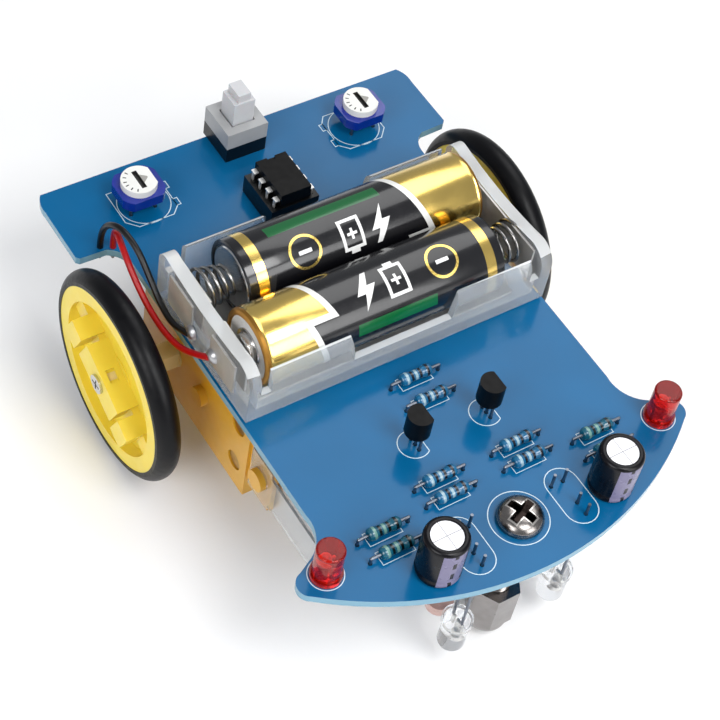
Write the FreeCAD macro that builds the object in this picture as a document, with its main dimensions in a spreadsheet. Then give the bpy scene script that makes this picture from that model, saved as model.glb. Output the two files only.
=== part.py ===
import FreeCAD, Part
import Sketcher
import math
import os
import re

# Two wheel robot car: a circuit-board chassis with two geared motors taped under it, a wheel on
# each gearbox, a screw and cap nut as the front skid, and the sensing circuit and cells on top.
# Frame: +X to the right along the axle, the front towards -Y, +Z up, origin on the ground.
# Places along Y are counted from the axle, and places along Z from the top of the board.

DIMENSIONS = {
    # chassis board
    "axle_y": 20.15, "deck_z": 34.2, "axle_drop": 13.8,
    "board_thick": 1.6, "board_rear": 33.8, "board_half_wide": 31.7, "wing_half_wide": 40.2,
    "wing_corner_half": 39.2, "wing_corner_y": 29.6, "wing_front_y": 17.2, "notch_x": 34.4,
    "notch_y": 12.6, "flare_y": -48.0, "flare_out_x": 36.0, "flare_out_y": -56.0, "tip_x": 40.2,
    "tip_y": -59.3, "tip_front_x": 38.9, "tip_front_y": -61.8, "nose_y": -75.2,
    # wheel
    "wheel_radius": 20.4, "wheel_x": 40.5, "tyre_half": 2.4, "rim_radius": 18.0,
    "rim_seat": 17.0, "rim_inner": 15.0, "rim_face": 2.3, "sleeve_radius": 4.4, "boss_in": -6.5,
    "boss_out": 4.1, "boss_long": 13.4, "boss_wide": 6.4, "slot_wide": 2.5, "slot_deep": 0.6,
    "block_in": 7.9, "block_out": 11.9, "block_wide": 5.8, "block_out_x": 4.6, "rib_wide": 4.6,
    "rib_out": 1.2, "hub_turn": 26.0, "head_radius": 1.9, "head_thick": 0.5,
    # geared motor
    "box_in": 10.4, "box_out": 29.0, "motor_x": 19.7, "box_rear": 11.5, "box_front": -26.5,
    "box_tall": 22.5, "box_wall": 1.5, "can_front": -26.6, "can_long": 25.0, "can_radius": 10.05,
    "can_flat": 15.1, "can_wall": 0.8, "cap_thick": 2.0, "cap_boss": 1.0, "shaft_radius": 2.7,
    "shaft_flat": 3.7, "shaft_gap": 0.05, "pin_radius": 0.8, "screw_y": -22.6, "screw_z": 5.2,
    "peg_y": -31.0, "peg_radius": 2.2, "jaw_long": 8.0, "jaw_half": 6.0, "jaw_thick": 0.9,
    "strap_thick": 0.5, "strap_half": 4.0, "strap_in": 10.3, "strap_out": 29.1,
    "stud_y": -10.5, "stud_radius": 2.0, "stud_out": 1.4,
    # gears
    "gear_module": 0.4, "teeth_output": 36, "teeth_small": 9, "teeth_middle": 27,
    "teeth_crown": 28, "teeth_rotor": 8, "tooth_rise": 0.36, "tooth_fall": 0.5,
    # skid
    "skid_y": -65.4, "skid_shank": 2.45, "nut_radius": 4.62, "nut_thick": 4.0, "cap_nut_tall": 10.0,
    # battery holder
    "holder_y": -12.05, "holder_long": 63.0, "holder_deep": 31.5, "holder_tall": 12.2,
    "holder_floor": 1.4, "holder_wall": 1.3, "holder_end": 2.4, "tape_thick": 0.6,
    "cell_radius": 7.1, "cell_can": 49.2, "cell_nub": 1.0, "cell_pitch": 14.5, "cell_shift": 2.6,
    "tab_wide": 8.0, "tab_tall": 7.0, "plate_thick": 0.4,
    # electronics
    "switch_y": 30.6, "switch_wide": 8.6, "switch_base_top": 3.4, "switch_top": 7.1,
    "plunger_wide": 4.4, "plunger_top": 12.2, "nub_wide": 2.6, "nub_top": 14.0,
    "chip_y": 13.6, "chip_long": 9.4, "chip_wide": 6.4, "pin_pitch": 2.54, "pin_row": 3.81,
    "trimmer_x": 24.0, "trimmer_y": 24.5, "dial_radius": 3.4, "dial_low": 5.0, "dial_top": 6.4,
    "trimmer_wide": 8.8, "trimmer_deep": 8.0, "trimmer_round": 4.9, "trimmer_low": 2.9,
    "transistor_x": 7.5, "transistor_y": -44.5, "transistor_low": 4.4, "transistor_tall": 4.6,
    "resistor_radius": 1.15, "resistor_long": 6.2, "resistor_rise": 1.4, "resistor_reach": 5.0,
    "capacitor_x": 17.9, "capacitor_y": -67.0, "capacitor_radius": 4.0, "capacitor_top": 10.4,
    "led_x": 34.7, "led_y": -59.3, "led_radius": 2.5, "led_long": 7.6, "lead_radius": 0.28,
    "sensor_x": 10.8, "sensor_y": -68.6, "sensor_drop": 19.4, "cell_x": 9.9, "cell_y": -62.6,
    "cell_drop": 22.4, "wire_radius": 0.6,
}

DOWN = FreeCAD.Rotation(FreeCAD.Vector(1, 0, 0), 180)
TURNS = {
    "+Z": FreeCAD.Rotation(),
    "-Z": DOWN,
    "+X": FreeCAD.Rotation(FreeCAD.Vector(0, 1, 0), 90),
    "-X": FreeCAD.Rotation(FreeCAD.Vector(0, 1, 0), -90),
    "+Y": FreeCAD.Rotation(FreeCAD.Vector(1, 0, 0), -90),
    "-Y": FreeCAD.Rotation(FreeCAD.Vector(1, 0, 0), 90),
}
SIDES = {"left": -1, "right": 1}

doc = FreeCAD.newDocument("two_wheel_robot_car")
sheet = doc.addObject("Spreadsheet::Sheet", "Dimensions")
for row, (word, number) in enumerate(DIMENSIONS.items(), start=1):
    sheet.set(f"A{row}", word)
    sheet.set(f"B{row}", str(number))
    sheet.setAlias(f"B{row}", word)
doc.recompute()
nodes = {}


# ---- helpers -------------------------------------------------------------------------------

def dim(word):
    """The number that the sheet holds under this alias."""
    return float(sheet.get(word))


def cells(text):
    """An expression in which every alias names its cell in the sheet."""
    return re.sub(r"[a-z][a-z_]+", lambda m: f"Dimensions.{m.group()}" if m.group() in DIMENSIONS
                  else m.group(), str(text))


def bind(item, **sizes):
    for name, text in sizes.items():
        item.setExpression(name, cells(text))
    return item


def place(item, x, y, z, turn="+Z"):
    """Put an item at x, y from the axle and z from the top of the board."""
    item.Placement = FreeCAD.Placement(FreeCAD.Vector(0, 0, 0), TURNS[turn])
    item.setExpression("Placement.Base.x", cells(x))
    item.setExpression("Placement.Base.y", cells(f"axle_y + ({y})"))
    item.setExpression("Placement.Base.z", cells(f"deck_z + ({z})"))
    return item


def box(size, corner):
    item = bind(doc.addObject("Part::Box", "Box"), Length=size[0], Width=size[1], Height=size[2])
    return place(item, *corner)


def block(size, centre):
    """A box placed by the middle of its footprint and its lowest level."""
    x, y, z = centre
    return box(size, (f"({x}) - ({size[0]}) / 2", f"({y}) - ({size[1]}) / 2", z))


def rod(radius, length, start, turn="+Z"):
    item = bind(doc.addObject("Part::Cylinder", "Cylinder"), Radius=radius, Height=length)
    return place(item, *start, turn)


def ball(radius, centre):
    return place(bind(doc.addObject("Part::Sphere", "Sphere"), Radius=radius), *centre)


def prism(radius, length, start, turn="+Z"):
    """A hexagonal prism, sized to its corners."""
    item = doc.addObject("Part::Prism", "Prism")
    item.Polygon = 6
    bind(item, Circumradius=radius, Height=length)
    return place(item, *start, turn)


def fuse(parts):
    item = doc.addObject("Part::MultiFuse", "Fusion")
    item.Shapes = parts
    item.Refine = True
    return item


def common(parts):
    item = doc.addObject("Part::MultiCommon", "Common")
    item.Shapes = parts
    return item


def cut(base, tools):
    item = doc.addObject("Part::Cut", "Cut")
    item.Base = base
    item.Tool = tools[0] if len(tools) == 1 else group(tools)
    return item


def group(parts):
    item = doc.addObject("Part::Compound", "Group")
    item.Links = parts
    return item


def rounded(item, radius, picks):
    """Fillet the edges whose middle point passes the test."""
    doc.recompute()
    edges = [number for number, edge in enumerate(item.Shape.Edges, start=1)
             if picks(edge.CenterOfMass, edge)]
    fillet = doc.addObject("Part::Fillet", "Fillet")
    fillet.Base = item
    fillet.Edges = [(number, radius, radius) for number in edges]
    return fillet


def node(name, item):
    item.Label = name
    nodes[name] = item
    return item


def plane(body, role):
    return next(part for part in body.Origin.OriginFeatures if part.Role == role)


def sketch(body, role, paths, offset=0.0):
    """A sketch of closed paths, each a start point and then lines (x, y) or arcs (mid, end)."""
    item = body.newObject("Sketcher::SketchObject", "Sketch")
    item.AttachmentSupport = [(plane(body, role), "")]
    item.MapMode = "FlatFace"
    item.AttachmentOffset = FreeCAD.Placement(FreeCAD.Vector(0, 0, offset), FreeCAD.Rotation())
    for path in paths:
        here = FreeCAD.Vector(*path[0], 0)
        for step in path[1:]:
            if isinstance(step[0], tuple):
                there = FreeCAD.Vector(*step[1], 0)
                item.addGeometry(Part.Arc(here, FreeCAD.Vector(*step[0], 0), there), False)
            else:
                there = FreeCAD.Vector(*step, 0)
                item.addGeometry(Part.LineSegment(here, there), False)
            here = there
    return item


def ring_sketch(body, role, circles, offset=0.0):
    """A sketch of circles (x, y, radius), each radius fixed by a constraint bound to the sheet."""
    item = sketch(body, role, [], offset)
    for x, y, radius in circles:
        where = FreeCAD.Vector(x, y, 0)
        number = item.addGeometry(Part.Circle(where, FreeCAD.Vector(0, 0, 1), 1.0), False)
        item.addConstraint(Sketcher.Constraint("Radius", number, 1.0))
        item.setExpression(f"Constraints[{item.ConstraintCount - 1}]", cells(radius))
    return item


def closed(points):
    return [*points, points[0]]


def body_at(x, y, z, turn="+Z"):
    return place(doc.addObject("PartDesign::Body", "Body"), x, y, z, turn)


def pad(body, profile, length, back=False):
    item = body.newObject("PartDesign::Pad", "Pad")
    item.Profile = profile
    item.Reversed = back
    item.setExpression("Length", cells(length))
    return item


def pocket(body, profile, length, back=False):
    """Cut a profile out of the body, and stop if nothing went."""
    doc.recompute()
    before = body.Shape.Volume
    item = body.newObject("PartDesign::Pocket", "Pocket")
    item.Profile = profile
    item.Reversed = back
    item.setExpression("Length", cells(length))
    doc.recompute()
    if body.Shape.Volume > before - 1e-6:
        raise RuntimeError(f"{body.Name}: the pocket cuts nothing")
    return item


def spun(x, y, z, half, turn="+Z"):
    """A solid of revolution about its own Z, from a half profile of (radius, height) steps."""
    body = body_at(x, y, z, turn)
    profile = sketch(body, "XZ_Plane", [half])
    item = body.newObject("PartDesign::Revolution", "Revolution")
    item.Profile = profile
    item.ReferenceAxis = (profile, ["V_Axis"])
    item.Angle = 360
    return body


def around(body, feature, count):
    """Repeat a feature in a circle about the body's own Z."""
    item = body.newObject("PartDesign::PolarPattern", "PolarPattern")
    item.Originals = [feature]
    item.Axis = (plane(body, "Z_Axis"), [""])
    item.Angle = 360
    item.setExpression("Occurrences", cells(count))
    body.Tip = item
    return item


def outward(side, near, far):
    """The low end and the length along X of a stretch counted outwards from the centre line."""
    start = near if side > 0 else f"-({far})"
    return start, f"({far}) - ({near})"


def side_box(side, near, far, y_low, y_high, z_low, z_high):
    start, length = outward(side, near, far)
    return box((length, f"({y_high}) - ({y_low})", f"({z_high}) - ({z_low})"), (start, y_low, z_low))


def side_rod(side, radius, near, far, y, z):
    """A cylinder along X between two distances from the centre line."""
    start, length = outward(side, near, far)
    return rod(radius, length, (start, y, z), "+X")


def mirrored(points, bridge):
    """A right-hand outline from the centre line, a bridge across, and its mirror image back."""
    left = []
    for before, step in zip(points, points[1:]):
        start = before[1] if isinstance(before[0], tuple) else before
        back = (-start[0], start[1])
        left.insert(0, ((-step[0][0], step[0][1]), back) if isinstance(step[0], tuple) else back)
    return [*points, bridge, *left]


# ---- chassis board ---------------------------------------------------------------------------

RESISTORS = [(0, -32.8), (0, -37.9)]
for x in (8.0, 22.2):
    for sign in SIDES.values():
        first, step = ((-52.6, -3.7) if x < 10 else (-57.0, -4.0))
        RESISTORS += [(sign * x, first), (sign * x, first + step)]

# the two battery leads, each from its hole in the board to the tab of a terminal
ROUTES = {
    "black": [(-35.1, 18.1, 0.0), (-35.1, 18.1, 5.6), (-34.2, 13.8, 10.2), (-33.3, 8.4, 9.4),
              (-33.1, 3.6, 5.9), (-33.2, -1.0, 3.3), (-33.2, -5.8, 2.8), (-32.55, -9.4, 4.7)],
    "red": [(-33.0, 17.1, 0.0), (-33.0, 17.1, 4.6), (-34.2, 13.6, 7.8), (-35.1, 9.0, 7.2),
            (-35.1, 4.4, 4.2), (-34.8, -0.4, 1.6), (-34.5, -5.8, 0.9), (-33.9, -11.2, 2.2),
            (-32.55, -16.4, 6.2)],
}


def paired(x, y, dx, dy):
    """The places of two leads either side of a middle point, on the left and on the right."""
    return [(sign * (x + end * dx / 2), y + end * dy / 2)
            for sign in SIDES.values() for end in (-1, 1)]


pitch = dim("pin_pitch")
LEADS = {
    "resistor": [(x + end * dim("resistor_reach"), y) for x, y in RESISTORS for end in (-1, 1)],
    "transistor": [(sign * dim("transistor_x"), dim("transistor_y") + step * pitch / 2)
                   for sign in SIDES.values() for step in (-1, 0, 1)],
    "capacitor": paired(dim("capacitor_x"), dim("capacitor_y"), 3.5, 0),
    "indicator": paired(dim("led_x"), dim("led_y"), pitch, 0),
    "sensor": paired(dim("sensor_x"), dim("sensor_y"), 0, pitch),
    "photo": paired(dim("cell_x"), dim("cell_y"), pitch, 0),
    "trimmer": [(sign * dim("trimmer_x") + dx, dim("trimmer_y") + dy)
                for sign in SIDES.values() for dx, dy in ((-2.5, -2.0), (2.5, -2.0), (0, 2.6))],
    "chip": [(end * dim("pin_row"), dim("chip_y") + (step - 1.5) * pitch)
             for end in (-1, 1) for step in range(4)],
    "wire": [points[0][:2] for points in ROUTES.values()],
}


def make_board():
    right = [
        (0, dim("board_rear")),
        (dim("wing_corner_half"), dim("board_rear")),
        ((dim("wing_half_wide") - 0.2, dim("board_rear") - 1.6),
         (dim("wing_half_wide"), dim("wing_corner_y"))),
        (dim("wing_half_wide"), dim("wing_front_y") + 0.6),
        (dim("wing_half_wide") - 0.6, dim("wing_front_y")),
        (dim("notch_x"), dim("wing_front_y") - 0.2),
        ((dim("notch_x") - 2.0, dim("notch_y") + 2.6), (dim("board_half_wide"), dim("notch_y"))),
        (dim("board_half_wide"), dim("flare_y")),
        ((dim("board_half_wide") + 1.1, dim("flare_y") - 5.3),
         (dim("flare_out_x"), dim("flare_out_y"))),
        (dim("tip_x") - 1.9, dim("tip_y") + 2.1),
        ((dim("tip_x"), dim("tip_y")), (dim("tip_front_x"), dim("tip_front_y"))),
    ]
    nose = ((0, dim("nose_y")), (-dim("tip_front_x"), dim("tip_front_y")))
    outline = mirrored(right, nose)
    board = body_at("0", "0", "-board_thick")
    pad(board, sketch(board, "XY_Plane", [outline]), "board_thick")
    holes = [(x, y, "lead_radius + 0.12") for places in LEADS.values() for x, y in places]
    holes.append((0, dim("skid_y"), "skid_shank + 0.1"))
    pocket(board, ring_sketch(board, "XY_Plane", holes), "board_thick", back=True)
    node("circuit_board", board)


# ---- wheels ----------------------------------------------------------------------------------

def axle_body(side, x, y, turn=0.0):
    """A body at axle height: its own Z points outwards, and its own X to the front, turned by degrees."""
    out = FreeCAD.Vector(side, 0, 0)
    lean = math.radians(turn)
    front = FreeCAD.Vector(0, -math.cos(lean), -math.sin(lean))
    body = body_at(x, str(y), "-axle_drop")
    body.Placement = FreeCAD.Placement(FreeCAD.Vector(), FreeCAD.Rotation(front, out.cross(front), out, "ZXY"))
    return body


def rectangle(near, far, low, high):
    return closed([(near, low), (far, low), (far, high), (near, high)])


def hub_bar(side):
    """The bar across the wheel, with a notched boss in its middle and a block at each side of it."""
    body = axle_body(side, f"{side} * wheel_x", 0, dim("hub_turn"))
    reach = dim("rim_inner") + 0.4
    rib, block_half, boss_half = dim("rib_wide") / 2, dim("block_wide") / 2, dim("boss_wide") / 2
    pad(body, sketch(body, "XY_Plane", [rectangle(-reach, reach, -rib, rib)], -1.0), "rib_out + 1.0")
    boss_end = dim("boss_long") / 2
    boss = rectangle(-boss_end, boss_end, -boss_half, boss_half)
    pad(body, sketch(body, "XY_Plane", [boss], -0.6), "boss_out + 0.6")
    for near, far in ((-dim("block_out"), -dim("block_in")), (dim("block_in"), dim("block_out"))):
        profile = rectangle(near, far, -block_half, block_half)
        pad(body, sketch(body, "XY_Plane", [profile], -0.6), "block_out_x + 0.6")
    slot, deep = dim("slot_wide") / 2, dim("slot_deep")
    notches = [rectangle(-slot, slot, end * (boss_half - deep), end * (boss_half + deep)) for end in (-1, 1)]
    pocket(body, sketch(body, "XY_Plane", notches, dim("rib_out")), "boss_out - rib_out - 1.2", back=True)
    return body


def make_wheel(name, side):
    turn = "+X" if side > 0 else "-X"
    axle = (f"{side} * wheel_x", "0", "-axle_drop")

    def disc(radius, low, high):
        return rod(radius, f"({high}) - ({low})", (f"{side} * (wheel_x + ({low}))", *axle[1:]), turn)

    rim = fuse([disc("rim_seat", "-1.6", "rim_face"), disc("rim_radius", "0.9", "rim_face"),
                disc("rim_radius", "-2.0", "-1.3")])
    hollow = cut(disc("rim_inner", "-3", "3"), [disc("rim_inner", "-1.2", "-0.2")])
    solid = fuse([cut(rim, [hollow]), disc("rim_inner + 0.5", "-1.2", "-0.2"),
                  disc("sleeve_radius", "boss_in", "0"), hub_bar(side)])
    socket = common([disc("shaft_radius", "boss_in - 1", "boss_out - 1.2"),
                     side_box(side, "wheel_x + boss_in - 1", "wheel_x + boss_out",
                              "-shaft_flat / 2", "shaft_flat / 2", "-axle_drop - 4", "-axle_drop + 4")])
    node(f"wheel_hub_{name}", cut(solid, [socket, disc("0.9", "boss_out - 2", "boss_out + 1")]))

    half, seat, rim_top = dim("tyre_half"), dim("rim_seat"), dim("rim_radius")
    shoulder = rim_top + 0.8
    node(f"tyre_{name}", spun(*axle, closed([
        (seat, -1.3), (seat, 0.9), (rim_top, 0.9), (rim_top, half), (shoulder, half),
        ((dim("wheel_radius"), 0), (shoulder, -half)), (rim_top, -half), (rim_top, -1.3),
    ]), turn))

    head = [disc("head_radius", "boss_out", "boss_out + head_thick"), disc("0.85", "boss_out - 3", "boss_out")]
    cross = [side_box(side, "wheel_x + boss_out + 0.2", "wheel_x + boss_out + 1",
                      f"-{y}", y, f"-axle_drop - {z}", f"-axle_drop + {z}")
             for y, z in (("0.2", "1.2"), ("1.2", "0.2"))]
    node(f"wheel_screw_{name}", cut(fuse(head), cross))


# ---- gears -----------------------------------------------------------------------------------

def tooth(radius, sense):
    """One tooth's outline, a trapezium across the pitch circle, pointing along sense * X."""
    root, tip = radius - dim("tooth_fall") - 0.15, radius + dim("tooth_rise")
    wide, narrow = 0.36, 0.16
    corners = [(root, -wide), (tip, -narrow), (tip, narrow), (root, wide)]
    return closed([(sense * x, y) for x, y in corners])


def toothed(body, count, level, length, sense):
    """Add one gear to the body: a root disc and its teeth, from a level along the body's Z."""
    radius = f"gear_module * {count} / 2"
    pitch_radius = dim("gear_module") * dim(count) / 2
    disc = ring_sketch(body, "XY_Plane", [(0, 0, f"{radius} - tooth_fall")], level)
    pad(body, disc, length)
    first = pad(body, sketch(body, "XY_Plane", [tooth(pitch_radius, sense)], level), length)
    around(body, first, count)


GEAR_LAYERS = {"output": 12.1, "middle_small": 12.2, "middle": 13.7, "crown_small": 13.4, "crown": 16.4}


def gear_places():
    """How far in front of the axle each gear's own axis lies."""
    half = dim("gear_module") / 2
    middle = -half * (dim("teeth_output") + dim("teeth_small"))
    crown = middle - half * (dim("teeth_middle") + dim("teeth_small"))
    return middle, crown


def make_gears(name, side):
    middle_y, crown_y = gear_places()
    layer = {key: f"{side} * {value}" for key, value in GEAR_LAYERS.items()}

    output = axle_body(side, layer["output"], "0")
    toothed(output, "teeth_output", 0, "1.4", 1)
    shaft = fuse([
        output,
        side_rod(side, "2.0", "box_in + 0.1", "12.4", "0", "-axle_drop"),
        side_rod(side, "shaft_radius", "12.2", "box_out + 0.2", "0", "-axle_drop"),
        common([side_rod(side, "shaft_radius", "box_out", "wheel_x + boss_out - 1.4", "0", "-axle_drop"),
                side_box(side, "box_out", "wheel_x + boss_out", "-shaft_flat / 2", "shaft_flat / 2",
                         "-axle_drop - 4", "-axle_drop + 4")]),
    ])
    screw_way = side_rod(side, "0.9", "wheel_x + boss_out - 4.5", "wheel_x + boss_out", "0", "-axle_drop")
    node(f"output_gear_{name}", cut(shaft, [screw_way]))

    middle = axle_body(side, layer["middle_small"], middle_y)
    toothed(middle, "teeth_small", 0, "1.8", 1)
    toothed(middle, "teeth_middle", GEAR_LAYERS["middle"] - GEAR_LAYERS["middle_small"], "1.5", 1)
    bore = ring_sketch(middle, "XY_Plane", [(0, 0, "pin_radius + 0.05")])
    pocket(middle, bore, "10", back=True)
    node(f"middle_gear_{name}", middle)

    crown = axle_body(side, layer["crown_small"], crown_y)
    toothed(crown, "teeth_small", 0, "3.2", 1)
    face = GEAR_LAYERS["crown"] - GEAR_LAYERS["crown_small"]
    pad(crown, ring_sketch(crown, "XY_Plane", [(0, 0, "6.1")], face), "1.2")
    dog = rectangle(4.9, 6.1, -0.22, 0.22)
    first = pad(crown, sketch(crown, "XY_Plane", [dog], face + 1.1), "0.8")
    around(crown, first, "teeth_crown")
    pocket(crown, ring_sketch(crown, "XY_Plane", [(0, 0, "pin_radius + 0.05")]), "10", back=True)
    node(f"crown_gear_{name}", crown)


# ---- geared motors ---------------------------------------------------------------------------

def make_gearbox(name, side):
    middle_y, crown_y = gear_places()
    low, high = "-axle_drop - box_tall / 2", "-axle_drop + box_tall / 2"
    split = "motor_x"

    def shell(near, far, near_wall, far_wall):
        outer = side_box(side, near, far, "box_front", "box_rear", low, high)
        inner = side_box(side, f"{near} + {near_wall}", f"{far} - {far_wall}",
                         "box_front + box_wall", "box_rear - box_wall",
                         f"{low} + box_wall", f"{high} - box_wall")
        corners = rounded(outer, 1.6, lambda point, edge: abs(edge.BoundBox.XLength - edge.Length) < 0.1
                          and point.y > dim("axle_y"))
        bosses = [side_rod(side, "1.7", near, far, "screw_y", f"-axle_drop + {end} * screw_z")
                  for end in (-1, 1)]
        return fuse([cut(corners, [inner]), *bosses])

    def jaw(near, far, peg_near, peg_far):
        """A tongue beside the motor, with the peg that holds its strap."""
        plate = side_box(side, near, far, "box_front - jaw_long", "box_front + 0.5",
                         "-axle_drop - jaw_half", "-axle_drop + jaw_half")
        return [plate, side_rod(side, "peg_radius", peg_near, peg_far, "peg_y", "-axle_drop")]

    motor_way = rod("3.2", "6", (f"{side} * motor_x", "box_front - 2", "-axle_drop"), "+Y")
    screw_ways = [side_rod(side, "1.05", "box_in - 1", "box_out + 1", "screw_y",
                           f"-axle_drop + {end} * screw_z") for end in (-1, 1)]
    counterbores = [side_rod(side, "2.0", "box_out - 1.2", "box_out + 1", "screw_y",
                             f"-axle_drop + {end} * screw_z") for end in (-1, 1)]

    stud = side_rod(side, "stud_radius", "box_out - 0.5", "box_out + stud_out", "stud_y", "-axle_drop")
    cover = fuse([shell(split, "box_out", "0", "box_wall"), stud,
                  *jaw("box_out - 1.5", "box_out - 1.5 + jaw_thick", "box_out - 0.7", "box_out + 1.2")])
    shaft_way = side_rod(side, "shaft_radius + shaft_gap", "motor_x", "box_out + 1", "0", "-axle_drop")
    node(f"gearbox_cover_{name}", cut(cover, [motor_way, shaft_way, *screw_ways, *counterbores]))

    case = fuse([shell("box_in", split, "box_wall", "0"),
                 *jaw("box_in + 0.6", "box_in + 0.6 + jaw_thick", "box_in - 1.2", "box_in + 0.7")])
    journal = side_rod(side, "2.05", "box_in - 1", "motor_x", "0", "-axle_drop")
    node(f"gearbox_case_{name}", cut(case, [motor_way, journal, *screw_ways]))

    pins = [side_rod(side, "pin_radius", "box_in + box_wall", "box_out - box_wall", str(y), "-axle_drop")
            for y in (middle_y, crown_y)]
    screws = [fuse([side_rod(side, "1.0", "box_in + 1", "box_out - 1", "screw_y", z),
                    side_rod(side, "1.8", "box_out - 1.1", "box_out - 0.3", "screw_y", z)])
              for z in (f"-axle_drop + {end} * screw_z" for end in (-1, 1))]
    return pins, screws


def make_motor(name, side):
    centre = f"{side} * motor_x"

    def round_flat(radius, flat, back, front):
        """A can section with two flats, between two places along Y."""
        wide = f"({front}) - ({back})"
        barrel = rod(radius, wide, (centre, back, "-axle_drop"), "+Y")
        slab = box((flat, wide, f"2 * {radius} + 2"),
                   (f"{centre} - ({flat}) / 2", back, f"-axle_drop - {radius} - 1"))
        return common([barrel, slab])

    rear = "can_front - can_long"
    outside = fuse([round_flat("can_radius", "can_flat", rear, "can_front"),
                    rod("3.0", "1.4", (centre, "can_front", "-axle_drop"), "+Y")])
    inside = round_flat("(can_radius - can_wall)", "can_flat - 2 * can_wall", f"{rear} - 1",
                        "can_front - can_wall")
    way = rod("0.85", "8", (centre, "can_front - 4", "-axle_drop"), "+Y")
    node(f"motor_can_{name}", cut(outside, [inside, way]))

    lid = fuse([round_flat("(can_radius - 0.1)", "can_flat - 0.2", f"{rear} - cap_thick", rear),
                rod("3.0", "cap_boss + 0.2", (centre, f"{rear} - cap_thick - cap_boss", "-axle_drop"), "+Y")])
    cap = cut(lid, [rod("0.85", "6", (centre, f"{rear} - 1.5", "-axle_drop"), "+Y")])
    tabs = [block(("2.4", "2.6", "0.5"), (centre, f"{rear} - cap_thick - 1.3", f"-axle_drop + {z}"))
            for z in (-6.9, 6.4)]

    shaft = rod("pin_radius", "can_long + 7.2", (centre, f"{rear} - 0.9", "-axle_drop"), "+Y")
    core = rod("6.0", "13", (centre, f"{rear} + 6", "-axle_drop"), "+Y")
    commutator = rod("2.2", "4", (centre, f"{rear} + 2", "-axle_drop"), "+Y")
    pinion = body_at(centre, "-24.2", "-axle_drop", "+Y")
    # half a tooth's turn puts a gap, not a tooth, against the crown gear
    toothed(pinion, "teeth_rotor", 0, "3.6", 1)
    pinion.Placement = FreeCAD.Placement(FreeCAD.Vector(), TURNS["+Y"].multiply(
        FreeCAD.Rotation(FreeCAD.Vector(0, 0, 1), 180 / dim("teeth_rotor"))))
    node(f"rotor_{name}", fuse([shaft, core, commutator, pinion]))
    return cap, tabs


def make_strap(side):
    """A clear band round the back of the motor, hooked on a peg at each side."""
    rear = "can_front - can_long - cap_thick - cap_boss - 0.2"
    low, high = "-axle_drop - strap_half", "-axle_drop + strap_half"
    band = cut(side_box(side, "strap_in", "strap_out", f"{rear} - strap_thick", "peg_y", low, high),
               [side_box(side, "strap_in + strap_thick", "strap_out - strap_thick", rear, "peg_y + 1",
                         f"{low} - 1", f"{high} + 1")])
    ends = [side_box(side, near, far, "peg_y - 3.4", "peg_y + 3.2", "-axle_drop - 5.6", "-axle_drop + 5.6")
            for near, far in (("strap_in", "strap_in + strap_thick"), ("strap_out - strap_thick", "strap_out"))]
    eyes = side_rod(side, "peg_radius + 0.1", "strap_in - 2", "strap_out + 2", "peg_y", "-axle_drop")
    return cut(fuse([band, *ends]), [eyes])


def make_sides():
    pins, screws, caps, tabs, straps, tapes = [], [], [], [], [], []
    for name, side in SIDES.items():
        make_wheel(name, side)
        make_gears(name, side)
        more_pins, more_screws = make_gearbox(name, side)
        cap, more_tabs = make_motor(name, side)
        pins += more_pins
        screws += more_screws
        caps.append(cap)
        tabs += more_tabs
        straps.append(make_strap(side))
        tapes.append(side_box(side, "box_in + 1.6", "box_out - 1.6", "box_front + 2.5", "box_rear - 2.5",
                              "-axle_drop + box_tall / 2", "-board_thick"))
    node("gear_pins", group(pins))
    node("gearbox_screws", group(screws))
    node("motor_caps", group(caps))
    node("motor_terminals", group(tabs))
    node("motor_straps", group(straps))
    node("motor_tapes", group(tapes))


# ---- skid ------------------------------------------------------------------------------------

def make_skid():
    head = common([rod("4.2", "2.6", ("0", "skid_y", "0")), ball("5.2", ("0", "skid_y", "-2.3"))])
    screw = fuse([head, rod("skid_shank", "30", ("0", "skid_y", "0"), "-Z")])
    cross = [block((wide, long, "1.8"), ("0", "skid_y", "1.3")) for wide, long in (("1", "4.4"), ("4.4", "1"))]
    node("skid_screw", cut(screw, cross))

    bottom = "-deck_z"

    def nut(top):
        """A plain nut whose corners are rounded off by a cone at each face."""
        body = prism("nut_radius", "nut_thick", ("0", "skid_y", f"{top} - nut_thick"))
        guard = ball("nut_radius + 0.35", ("0", "skid_y", f"{top} - nut_thick / 2"))
        way = rod("skid_shank", "nut_thick + 2", ("0", "skid_y", f"{top} - nut_thick - 1"))
        return cut(common([body, guard]), [way])

    node("skid_nuts", group([nut("-board_thick"), nut(f"{bottom} + cap_nut_tall + nut_thick")]))
    hexagon = prism("nut_radius", "5.4", ("0", "skid_y", f"{bottom} + cap_nut_tall - 5.4"))
    dome = ball("3.9", ("0", "skid_y", f"{bottom} + 3.9"))
    neck = rod("3.9", "1.6", ("0", "skid_y", f"{bottom} + 3.9"))
    thread = rod("skid_shank", "7", ("0", "skid_y", f"{bottom} + cap_nut_tall - 6"))
    node("skid_cap_nut", cut(fuse([hexagon, dome, neck]), [thread]))


# ---- battery holder --------------------------------------------------------------------------

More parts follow.
